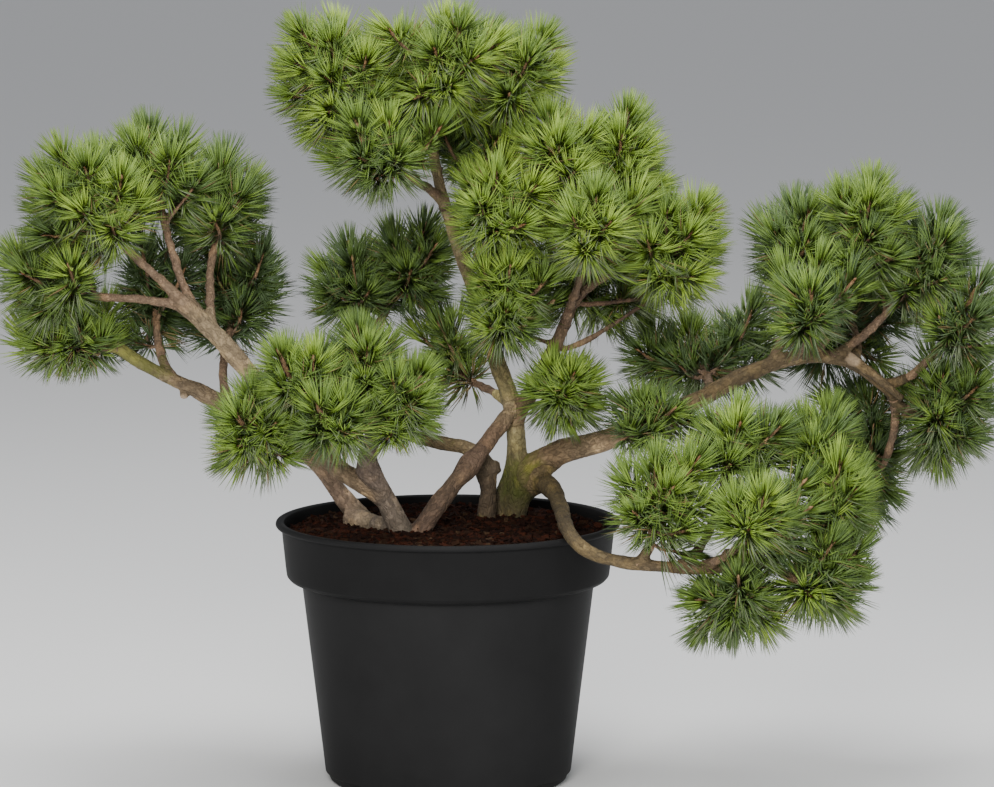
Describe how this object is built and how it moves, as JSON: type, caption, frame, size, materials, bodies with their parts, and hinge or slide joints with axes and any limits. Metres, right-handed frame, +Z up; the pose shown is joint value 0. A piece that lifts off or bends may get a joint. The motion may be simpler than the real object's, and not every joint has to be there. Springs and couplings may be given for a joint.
{
  "type": "potted swiss stone pine",
  "caption": "Multi-stemmed mountain pine with long needles in a round plastic nursery pot, standing on the pot's flat underside.",
  "frame": {"origin": "middle of the pot's flat underside, on the pot's axis", "axes": "+Z up along the pot's axis; +X along the crown's longest spread, towards the long drooping bough; +Y towards the back of the crown as pictured"},
  "size_m": [1.1859, 0.5579, 0.9151],
  "materials": {
    "pot": "satin",
    "soil": "matte",
    "bark": "matte",
    "foliage": "satin"
  },
  "bodies": {
    "root": {"pot": "pot", "soil": "soil", "trunk": "bark", "stem_diagonal": "bark", "stem_front": "bark", "bough_left": "bark", "stem_side": "bark", "stem_rear": "bark", "bough_back": "bark", "bough_right": "bark", "bough_right_end": "bark", "bough_low": "bark", "bough_low_end": "bark", "bough_upper": "bark", "foliage_top_left": "foliage", "foliage_top_middle": "foliage", "foliage_top_right": "foliage", "foliage_top_front": "foliage", "foliage_top_inner": "foliage", "foliage_top_back": "foliage", "foliage_upper_left": "foliage", "foliage_upper_low": "foliage", "foliage_upper_crown": "foliage", "foliage_upper_peak": "foliage", "foliage_upper_right": "foliage", "foliage_upper_front": "foliage", "foliage_upper_back": "foliage", "foliage_middle_small": "foliage", "foliage_back_left": "foliage", "foliage_back_middle": "foliage", "foliage_back_low": "foliage", "foliage_left_crown": "foliage", "foliage_left_top": "foliage", "foliage_left_shoulder": "foliage", "foliage_left_tip": "foliage", "foliage_left_low": "foliage", "foliage_left_back": "foliage", "foliage_left_inner": "foliage", "foliage_front_left_tip": "foliage", "foliage_front_left_mid": "foliage", "foliage_front_left_top": "foliage", "foliage_front_left_low": "foliage", "foliage_front_left_end": "foliage", "foliage_right_shoulder": "foliage", "foliage_right_top": "foliage", "foliage_right_crown": "foliage", "foliage_right_front": "foliage", "foliage_right_end": "foliage", "foliage_right_low": "foliage", "foliage_right_under": "foliage", "foliage_right_back": "foliage", "foliage_right_rear": "foliage", "foliage_low_near": "foliage", "foliage_low_left": "foliage", "foliage_low_crown": "foliage", "foliage_low_top": "foliage", "foliage_low_middle": "foliage", "foliage_low_right": "foliage", "foliage_low_end": "foliage", "foliage_low_tip": "foliage"}
  },
  "joints": []
}
